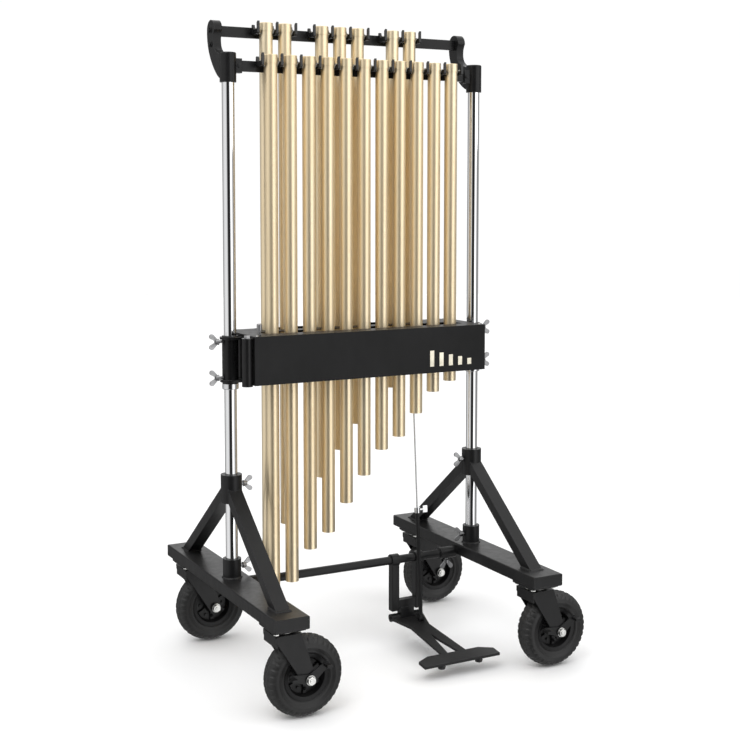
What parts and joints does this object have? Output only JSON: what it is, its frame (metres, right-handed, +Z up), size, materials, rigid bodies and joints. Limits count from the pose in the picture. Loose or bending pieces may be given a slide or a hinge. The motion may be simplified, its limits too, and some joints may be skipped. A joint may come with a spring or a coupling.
{
  "type": "orchestral chimes on a wheeled stand",
  "caption": "Two rows of capped hanging brass tubes on a chrome-posted stand with felt dampers in a black box, a damper pedal and four braked or free pneumatic casters.",
  "frame": {"origin": "on the floor, midway between the two posts", "axes": "+Z up, +X along the rows towards the short tubes, -Y towards the player"},
  "size_m": [1.028, 0.8275, 1.8562],
  "materials": {
    "brake_black": "satin black",
    "cast_black": "textured powder coat",
    "cord_nylon": "braided",
    "damper_felt": "felt on steel bars",
    "fork_black": "satin black",
    "frame_black": "textured powder coat",
    "hook_plastic": "moulded",
    "pedal_black": "textured powder coat",
    "plate_black": "satin black",
    "post_chrome": "polished",
    "rail_black": "satin powder coat",
    "rim_steel": "satin black",
    "sheet_black": "satin powder coat",
    "small_chrome": "polished",
    "tube_brass": "polished and lacquered",
    "tyre_rubber": "matt, moulded",
    "wing_bolt_zinc": "bright plated",
    "zinc_bolt": "zinc plated"
  },
  "bodies": {
    "base": {"left_foot": "frame_black", "right_foot": "frame_black", "left_aframe": "frame_black", "right_aframe": "frame_black", "crossbar": "frame_black", "clamp_wing_bolts": "wing_bolt_zinc", "caster_plates": "plate_black", "caster_bolts": "zinc_bolt", "pedal_bracket": "frame_black"},
    "upper_frame": {"left_post": "post_chrome", "right_post": "post_chrome", "left_bracket": "cast_black", "right_bracket": "cast_black", "front_rail": "rail_black", "rear_rail": "rail_black", "hooks": "hook_plastic", "cords": "cord_nylon", "memory_collars": "small_chrome"},
    "damper_box": {"box_front": "sheet_black", "box_rear": "sheet_black", "box_deck": "sheet_black", "box_ends": "cast_black", "box_fittings": "small_chrome"},
    "damper_frame": {"damper_frame": "damper_felt"},
    "pedal": {"pedal": "pedal_black"},
    "push_tube": {"push_tube": "frame_black", "rod_clamp": "small_chrome"},
    "pull_rod": {"pull_rod": "small_chrome"},
    "front_left_caster": {"front_left_fork": "fork_black"},
    "front_left_wheel": {"front_left_rim": "rim_steel", "front_left_tyre": "tyre_rubber"},
    "front_left_brake_lever": {"front_left_brake": "brake_black"},
    "front_right_caster": {"front_right_fork": "fork_black"},
    "front_right_wheel": {"front_right_rim": "rim_steel", "front_right_tyre": "tyre_rubber"},
    "front_right_brake_lever": {"front_right_brake": "brake_black"},
    "rear_left_caster": {"rear_left_fork": "fork_black"},
    "rear_left_wheel": {"rear_left_rim": "rim_steel", "rear_left_tyre": "tyre_rubber"},
    "rear_right_caster": {"rear_right_fork": "fork_black"},
    "rear_right_wheel": {"rear_right_rim": "rim_steel", "rear_right_tyre": "tyre_rubber"},
    "chime_a4": {"chime_a4": "tube_brass"},
    "chime_as4": {"chime_as4": "tube_brass"},
    "chime_b4": {"chime_b4": "tube_brass"},
    "chime_c4": {"chime_c4": "tube_brass"},
    "chime_c5": {"chime_c5": "tube_brass"},
    "chime_cs4": {"chime_cs4": "tube_brass"},
    "chime_cs5": {"chime_cs5": "tube_brass"},
    "chime_d4": {"chime_d4": "tube_brass"},
    "chime_d5": {"chime_d5": "tube_brass"},
    "chime_ds4": {"chime_ds4": "tube_brass"},
    "chime_ds5": {"chime_ds5": "tube_brass"},
    "chime_e4": {"chime_e4": "tube_brass"},
    "chime_e5": {"chime_e5": "tube_brass"},
    "chime_f4": {"chime_f4": "tube_brass"},
    "chime_f5": {"chime_f5": "tube_brass"},
    "chime_fs4": {"chime_fs4": "tube_brass"},
    "chime_g4": {"chime_g4": "tube_brass"},
    "chime_gs4": {"chime_gs4": "tube_brass"}
  },
  "joints": [
    {"name": "height_slide", "type": "slide", "parent": "base", "child": "upper_frame", "axis": [0, 0, 1], "range_m": [0, 0.05]},
    {"name": "damper_box_slide", "type": "slide", "parent": "upper_frame", "child": "damper_box", "axis": [0, 0, 1], "range_m": [0, 0.05]},
    {"name": "pedal_hinge", "type": "hinge", "parent": "base", "child": "pedal", "pos_m": [0.178, 0.021, 0.081], "axis": [1, 0, 0], "range_deg": [0, 4.5], "stiffness_Nm_per_rad": 70, "springref_deg": -8.02},
    {"name": "push_tube_slide", "type": "slide", "parent": "base", "child": "push_tube", "axis": [0, 0.0725, 0.9974], "range_m": [-0.0047, 0]},
    {"name": "pull_rod_slide", "type": "slide", "parent": "push_tube", "child": "pull_rod", "axis": [0, 0.0725, 0.9974], "range_m": [-0.02, 0.02]},
    {"name": "damper_slide", "type": "slide", "parent": "damper_box", "child": "damper_frame", "axis": [0, -1, 0], "range_m": [0, 0.006]},
    {"name": "front_left_swivel", "type": "hinge", "parent": "base", "child": "front_left_caster", "pos_m": [-0.399, -0.347, 0.24], "axis": [0, 0, 1], "continuous": true},
    {"name": "front_left_roll", "type": "hinge", "parent": "front_left_caster", "child": "front_left_wheel", "pos_m": [-0.341, -0.347, 0.11], "axis": [0, 1, 0], "continuous": true},
    {"name": "front_left_brake_turn", "type": "hinge", "parent": "front_left_caster", "child": "front_left_brake_lever", "pos_m": [-0.341, -0.3925, 0.11], "axis": [0, 1, 0], "range_deg": [-20, 0]},
    {"name": "front_right_swivel", "type": "hinge", "parent": "base", "child": "front_right_caster", "pos_m": [0.399, -0.347, 0.24], "axis": [0, 0, 1], "range_deg": [-180, 120]},
    {"name": "front_right_roll", "type": "hinge", "parent": "front_right_caster", "child": "front_right_wheel", "pos_m": [0.457, -0.347, 0.11], "axis": [0, 1, 0], "continuous": true},
    {"name": "front_right_brake_turn", "type": "hinge", "parent": "front_right_caster", "child": "front_right_brake_lever", "pos_m": [0.457, -0.3925, 0.11], "axis": [0, 1, 0], "range_deg": [-20, 0]},
    {"name": "rear_left_swivel", "type": "hinge", "parent": "base", "child": "rear_left_caster", "pos_m": [-0.399, 0.327, 0.24], "axis": [0, 0, 1], "continuous": true},
    {"name": "rear_left_roll", "type": "hinge", "parent": "rear_left_caster", "child": "rear_left_wheel", "pos_m": [-0.341, 0.327, 0.11], "axis": [0, 1, 0], "continuous": true},
    {"name": "rear_right_swivel", "type": "hinge", "parent": "base", "child": "rear_right_caster", "pos_m": [0.399, 0.327, 0.24], "axis": [0, 0, 1], "continuous": true},
    {"name": "rear_right_roll", "type": "hinge", "parent": "rear_right_caster", "child": "rear_right_wheel", "pos_m": [0.457, 0.327, 0.11], "axis": [0, 1, 0], "continuous": true},
    {"name": "chime_a4_swing", "type": "hinge", "parent": "upper_frame", "child": "chime_a4", "pos_m": [0.006, -0.033, 1.72], "axis": [1, 0, 0], "range_deg": [0, 0.6]},
    {"name": "chime_as4_swing", "type": "hinge", "parent": "upper_frame", "child": "chime_as4", "pos_m": [0.0352, 0.065, 1.819], "axis": [1, 0, 0], "range_deg": [0, 0.6]},
    {"name": "chime_b4_swing", "type": "hinge", "parent": "upper_frame", "child": "chime_b4", "pos_m": [0.0644, -0.033, 1.72], "axis": [1, 0, 0], "range_deg": [0, 0.6]},
    {"name": "chime_c4_swing", "type": "hinge", "parent": "upper_frame", "child": "chime_c4", "pos_m": [-0.286, -0.033, 1.72], "axis": [1, 0, 0], "range_deg": [0, 0.6]},
    {"name": "chime_c5_swing", "type": "hinge", "parent": "upper_frame", "child": "chime_c5", "pos_m": [0.1228, -0.033, 1.72], "axis": [1, 0, 0], "range_deg": [0, 0.6]},
    {"name": "chime_cs4_swing", "type": "hinge", "parent": "upper_frame", "child": "chime_cs4", "pos_m": [-0.2568, 0.065, 1.819], "axis": [1, 0, 0], "range_deg": [0, 0.6]},
    {"name": "chime_cs5_swing", "type": "hinge", "parent": "upper_frame", "child": "chime_cs5", "pos_m": [0.152, 0.065, 1.819], "axis": [1, 0, 0], "range_deg": [0, 0.6]},
    {"name": "chime_d4_swing", "type": "hinge", "parent": "upper_frame", "child": "chime_d4", "pos_m": [-0.2276, -0.033, 1.72], "axis": [1, 0, 0], "range_deg": [0, 0.6]},
    {"name": "chime_d5_swing", "type": "hinge", "parent": "upper_frame", "child": "chime_d5", "pos_m": [0.1812, -0.033, 1.72], "axis": [1, 0, 0], "range_deg": [0, 0.6]},
    {"name": "chime_ds4_swing", "type": "hinge", "parent": "upper_frame", "child": "chime_ds4", "pos_m": [-0.1984, 0.065, 1.819], "axis": [1, 0, 0], "range_deg": [0, 0.6]},
    {"name": "chime_ds5_swing", "type": "hinge", "parent": "upper_frame", "child": "chime_ds5", "pos_m": [0.2104, 0.065, 1.819], "axis": [1, 0, 0], "range_deg": [0, 0.6]},
    {"name": "chime_e4_swing", "type": "hinge", "parent": "upper_frame", "child": "chime_e4", "pos_m": [-0.1692, -0.033, 1.72], "axis": [1, 0, 0], "range_deg": [0, 0.6]},
    {"name": "chime_e5_swing", "type": "hinge", "parent": "upper_frame", "child": "chime_e5", "pos_m": [0.2396, -0.033, 1.72], "axis": [1, 0, 0], "range_deg": [0, 0.6]},
    {"name": "chime_f4_swing", "type": "hinge", "parent": "upper_frame", "child": "chime_f4", "pos_m": [-0.1108, -0.033, 1.72], "axis": [1, 0, 0], "range_deg": [0, 0.6]},
    {"name": "chime_f5_swing", "type": "hinge", "parent": "upper_frame", "child": "chime_f5", "pos_m": [0.298, -0.033, 1.72], "axis": [1, 0, 0], "range_deg": [0, 0.6]},
    {"name": "chime_fs4_swing", "type": "hinge", "parent": "upper_frame", "child": "chime_fs4", "pos_m": [-0.0816, 0.065, 1.819], "axis": [1, 0, 0], "range_deg": [0, 0.6]},
    {"name": "chime_g4_swing", "type": "hinge", "parent": "upper_frame", "child": "chime_g4", "pos_m": [-0.0524, -0.033, 1.72], "axis": [1, 0, 0], "range_deg": [0, 0.6]},
    {"name": "chime_gs4_swing", "type": "hinge", "parent": "upper_frame", "child": "chime_gs4", "pos_m": [-0.0232, 0.065, 1.819], "axis": [1, 0, 0], "range_deg": [0, 0.6]}
  ],
  "couplings": [
    {"joint": "push_tube_slide", "follows": "pedal_hinge", "m_per_rad": -0.059},
    {"joint": "damper_slide", "follows": "pedal_hinge", "m_per_rad": 0.076}
  ]
}
